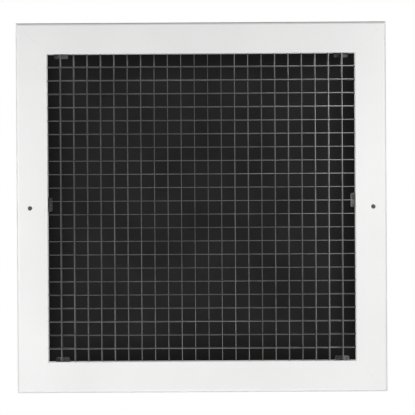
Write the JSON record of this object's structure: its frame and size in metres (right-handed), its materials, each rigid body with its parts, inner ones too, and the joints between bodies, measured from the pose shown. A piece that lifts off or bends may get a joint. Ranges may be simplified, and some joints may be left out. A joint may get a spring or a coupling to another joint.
{
  "type": "eggcrate return air grille",
  "caption": "Square eggcrate return-air grille: a flat white mitred border with screw holes round a core of crossed thin metal strips, clipped inside a short duct neck.",
  "frame": {"origin": "middle of the grille, on the plane of the wall or ceiling that the border's lip rests on", "axes": "+Y runs from the room into the duct, along the neck; +X is to the right and +Z is up, seen from the room with the grille upright on a wall. For a ceiling, turn the part about X so that +Y points up."},
  "size_m": [0.3492, 0.0314, 0.3492],
  "materials": {
    "border_enamel": "satin white baked enamel on aluminium",
    "core_metal": "mill finish, satin",
    "clip_metal": "mill finish",
    "key_metal": "mill finish, sheared edges",
    "rivet_metal": "bright drawn"
  },
  "bodies": {
    "root": {"rail_bottom": "border_enamel", "rail_left": "border_enamel", "rail_top": "border_enamel", "rail_right": "border_enamel", "corner_key_bottom_left": "key_metal", "corner_key_bottom_right": "key_metal", "corner_key_top_left": "key_metal", "corner_key_top_right": "key_metal", "upright_strip_01": "core_metal", "upright_strip_02": "core_metal", "upright_strip_03": "core_metal", "upright_strip_04": "core_metal", "upright_strip_05": "core_metal", "upright_strip_06": "core_metal", "upright_strip_07": "core_metal", "upright_strip_08": "core_metal", "upright_strip_09": "core_metal", "upright_strip_10": "core_metal", "upright_strip_11": "core_metal", "upright_strip_12": "core_metal", "upright_strip_13": "core_metal", "upright_strip_14": "core_metal", "upright_strip_15": "core_metal", "upright_strip_16": "core_metal", "upright_strip_17": "core_metal", "upright_strip_18": "core_metal", "upright_strip_19": "core_metal", "upright_strip_20": "core_metal", "upright_strip_21": "core_metal", "upright_strip_22": "core_metal", "level_strip_01": "core_metal", "level_strip_02": "core_metal", "level_strip_03": "core_metal", "level_strip_04": "core_metal", "level_strip_05": "core_metal", "level_strip_06": "core_metal", "level_strip_07": "core_metal", "level_strip_08": "core_metal", "level_strip_09": "core_metal", "level_strip_10": "core_metal", "level_strip_11": "core_metal", "level_strip_12": "core_metal", "level_strip_13": "core_metal", "level_strip_14": "core_metal", "level_strip_15": "core_metal", "level_strip_16": "core_metal", "level_strip_17": "core_metal", "level_strip_18": "core_metal", "level_strip_19": "core_metal", "level_strip_20": "core_metal", "level_strip_21": "core_metal", "level_strip_22": "core_metal", "clip_bottom_left": "clip_metal", "clip_bottom_right": "clip_metal", "clip_left": "clip_metal", "clip_top_left": "clip_metal", "clip_top_right": "clip_metal", "clip_right": "clip_metal", "clip_rivets": "rivet_metal"}
  },
  "joints": []
}
